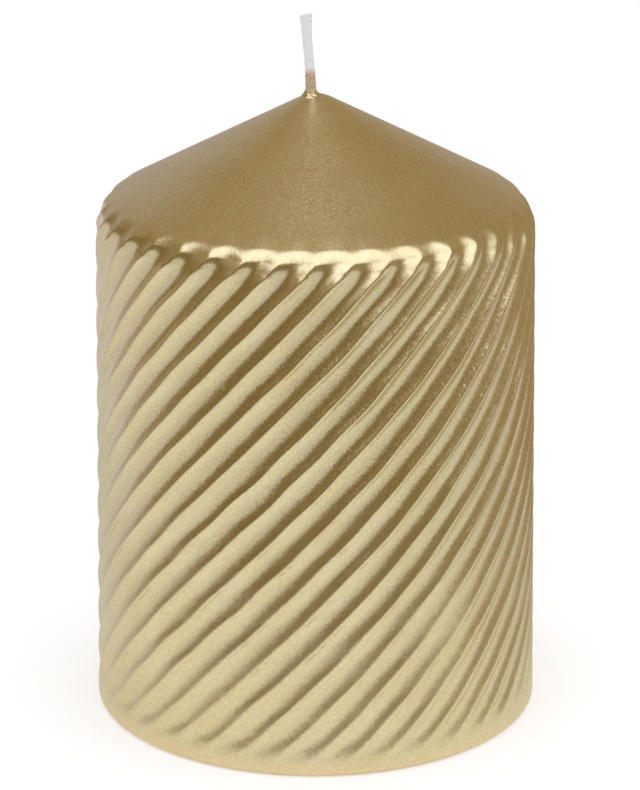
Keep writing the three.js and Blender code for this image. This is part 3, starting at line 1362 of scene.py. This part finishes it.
class Light(Enum):
    """The studio's zones with the light that each gives, and the floor's two tones."""

    PAPER_DARK = (0.86, 0.86, 0.86)
    PAPER_LIGHT = (0.88, 0.88, 0.88)
    BACKDROP = (1.0, 1.0, 1.0)
    SWEEP = (0.800, 0.775, 0.790)
    SWEEP_RIGHT = (0.900, 0.880, 0.845)
    SWEEP_SIDE = (0.79, 0.74, 0.82)
    FILL = (0.85, 0.85, 0.85)
    DARK_SIDE = (0.235, 0.160, 0.052)
    LIGHT_SIDE = (0.430, 0.330, 0.200)
    CEILING = (0.42, 0.325, 0.185)
    BACK_GLOW = (0.50, 0.44, 0.41)
    SOFT_BOX = (1.62, 1.63, 1.80)


@dataclass(frozen=True)
class Room:
    """What the gloss reflects: a white sweep below the horizon, and a dim room above it.

    The room is darkest towards one front corner and lightest in the other, with a glow behind the
    candle on the left and a lighter ceiling. The soft box is a rectangle on the ceiling: x over z
    and y over z of a direction are its place there. Pairs are values between which one zone gives
    way to the next.

    Attributes:
        dark_way: X and Y of the direction in which the room is darkest.
        level: the least Z by which x and y are divided.
        sunk: Y of a direction, between which the horizon sinks.
        sink: how far it sinks.
    """

    dark_way: Range = (-0.574, -0.819)
    side: Range = (-1.0, 0.9)
    ceiling: Range = (0.3, 0.55)
    behind_y: Range = (0.55, 0.85)
    behind_x: Range = (0.55, -0.1)
    box_left: Range = (-1.1, -0.7)
    box_right: Range = (2.4, 0.8)
    box_front: Range = (-1.3, -0.8)
    box_back: Range = (0.2, 0.0)
    level: float = 0.05
    right: Range = (0.5, 0.95)
    back: Range = (-0.7, 0.5)
    sunk: Range = (-0.3, 0.9)
    sink: float = 0.12
    horizon: Range = (-0.02, -0.12)

    def light(self, nodes: Nodes, x: Socket, y: Socket, z: Socket) -> Socket:
        """Lays out the light by direction.

        Args:
            nodes: the world's node tree.
            x: X of the direction.
            y: Y of the direction.
            z: Z of the direction.

        Returns:
            The colour seen in the direction.
        """
        toward = nodes.math("MULTIPLY_ADD", x, -self.dark_way[0], nodes.product(y, -self.dark_way[1]))
        room = nodes.blend(nodes.ease(toward, *self.side), Light.DARK_SIDE.value, Light.LIGHT_SIDE.value)
        room = nodes.blend(nodes.ease(z, *self.ceiling), room, Light.CEILING.value)
        behind = nodes.product(nodes.ease(y, *self.behind_y), nodes.ease(x, *self.behind_x))
        room = nodes.blend(behind, room, Light.BACK_GLOW.value)
        up = nodes.math("MAXIMUM", z, self.level)
        over_x, over_y = nodes.math("DIVIDE", x, up), nodes.math("DIVIDE", y, up)
        box = nodes.product(
            nodes.ease(over_x, *self.box_left), nodes.ease(over_x, *self.box_right),
            nodes.ease(over_y, *self.box_front), nodes.ease(over_y, *self.box_back),
        )
        room = nodes.blend(box, room, Light.SOFT_BOX.value)
        sweep = nodes.blend(nodes.ease(x, *self.right), Light.SWEEP.value, Light.SWEEP_RIGHT.value)
        sweep = nodes.blend(nodes.ease(y, *self.back), sweep, Light.SWEEP_SIDE.value)
        over_horizon = nodes.math("ADD", z, nodes.ease(y, *self.sunk, 0.0, self.sink))
        return nodes.blend(nodes.ease(over_horizon, *self.horizon), room, sweep)


@dataclass
class Studio:
    """A white floor, the room round it and the camera at the photograph's angle.

    The camera's distance, tilt and lens come from fitting the candle's outline in the photograph.

    Attributes:
        floor_gap: how far the floor lies under the candle, and the width of its sharp rim.
        floor_glow: light that the camera sees the floor add, so that it looks white.
        floor_gleam: light that the gloss sees it add near the candle.
        far_gleam: the same light far from the candle.
        gleam_reach: distances between which it goes from one to the other.
        gleam_fade: places from front to back between which it fades out.
    """

    distance: float = 550.0 * MM
    tilt: float = math.radians(19.19)
    look_height: float = 49.6 * MM
    side_step: float = 0.7 * MM
    focal_pixels: float = 3501.2
    image_height: int = 790
    sensor: float = 36.0
    clip_start: float = 10.0 * MM
    floor_radius: float = 140.0 * MM
    floor_thickness: float = 5.0 * MM
    floor_columns: int = 96
    floor_gap: float = 0.02 * MM
    floor_glow: float = 0.34
    floor_gleam: float = 0.35
    far_gleam: float = 0.10
    gleam_reach: Range = (40.0 * MM, 130.0 * MM)
    gleam_fade: Range = (-45.0 * MM, 60.0 * MM)
    paper_grain: float = 3.0 * MM
    room: Room = Room()

    def camera(self) -> None:
        """Makes the scene's camera."""
        data = bpy.data.cameras.new("camera")
        data.sensor_width = self.sensor
        data.lens = self.focal_pixels * self.sensor / self.image_height
        data.clip_start = self.clip_start
        made = bpy.data.objects.new("camera", data)
        back = self.distance * math.cos(self.tilt)
        up = self.look_height + self.distance * math.sin(self.tilt)
        made.location = (self.side_step, -back, up)
        made.rotation_euler = (math.pi / 2.0 - self.tilt, 0.0, 0.0)
        bpy.context.scene.collection.objects.link(made)
        bpy.context.scene.camera = made

    def floor(self) -> None:
        """Makes the floor: a pale disc that looks white and keeps the candle's shadow."""
        rim, inner = self.floor_radius, self.floor_radius - self.floor_gap
        radius = np.array([rim, rim, inner, rim / 2.0])
        height = np.array([-self.floor_thickness, 0.0, 0.0, 0.0]) - self.floor_gap
        made = Surface(revolve(radius, height, self.floor_columns, 0.0), False).build("floor")
        paper = bpy.data.materials.new("floor_paper")
        paper.use_nodes = True
        nodes = Nodes(paper.node_tree)
        paths = nodes.add("ShaderNodeLightPath")
        seen = nodes.product(paths.outputs["Is Camera Ray"], self.floor_glow)
        place = nodes.place()
        back = nodes.add("ShaderNodeSeparateXYZ", None, {0: place}).outputs["Y"]
        away = nodes.add("ShaderNodeVectorMath", {"operation": "LENGTH"}, {0: place}).outputs["Value"]
        mirrored = nodes.product(
            paths.outputs["Is Glossy Ray"],
            nodes.ease(away, *self.gleam_reach, self.floor_gleam, self.far_gleam),
            nodes.ease(back, *self.gleam_fade, 1.0, 0.0),
        )
        grain = nodes.noise(place, self.paper_grain)
        tone = nodes.blend(grain, Light.PAPER_DARK.value, Light.PAPER_LIGHT.value)
        diffuse = nodes.add("ShaderNodeBsdfDiffuse", None, {"Color": tone})
        glow = nodes.add("ShaderNodeEmission", None, {"Strength": nodes.math("ADD", seen, mirrored)})
        both = nodes.add("ShaderNodeAddShader", None, {0: diffuse.outputs[0], 1: glow.outputs[0]})
        output = nodes.add("ShaderNodeOutputMaterial")
        nodes.tree.links.new(both.outputs[0], output.inputs["Surface"])
        made.data.materials.append(paper)

    def world(self) -> None:
        """Makes the light all round.

        The gloss reflects the room, the camera sees plain white, and matt faces get an even fill.
        """
        world = bpy.data.worlds.new("studio")
        bpy.context.scene.world = world
        world.use_nodes = True
        nodes = Nodes(world.node_tree)
        direction = nodes.add("ShaderNodeTexCoord").outputs["Generated"]
        parts = nodes.add("ShaderNodeSeparateXYZ", None, {0: direction})
        room = self.room.light(nodes, *(parts.outputs[name] for name in "XYZ"))
        paths = nodes.add("ShaderNodeLightPath")
        shown = nodes.blend(paths.outputs["Is Camera Ray"], room, Light.BACKDROP.value)
        shown = nodes.blend(paths.outputs["Is Diffuse Ray"], shown, Light.FILL.value)
        glow = nodes.add("ShaderNodeBackground", None, {"Color": shown, "Strength": 1.0})
        output = nodes.add("ShaderNodeOutputWorld")
        nodes.tree.links.new(glow.outputs[0], output.inputs[0])

    def build(self) -> None:
        """Makes the camera, the floor and the light."""
        self.camera()
        self.floor()
        self.world()
        bpy.context.scene.view_settings.view_transform = "Standard"


def main() -> None:
    """Builds the studio and the candle's pieces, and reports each."""
    logging.basicConfig(level=logging.INFO, format="%(name)s: %(message)s")
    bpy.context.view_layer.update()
    body = Body()
    Studio().build()
    for part in (WaxCore(body), GoldSkin(body), Wick(body), WickClip(body)):
        made = part.build()
        LOG.info("%s: %d faces", made.name, len(made.data.polygons))


if __name__ == "__main__":
    main()
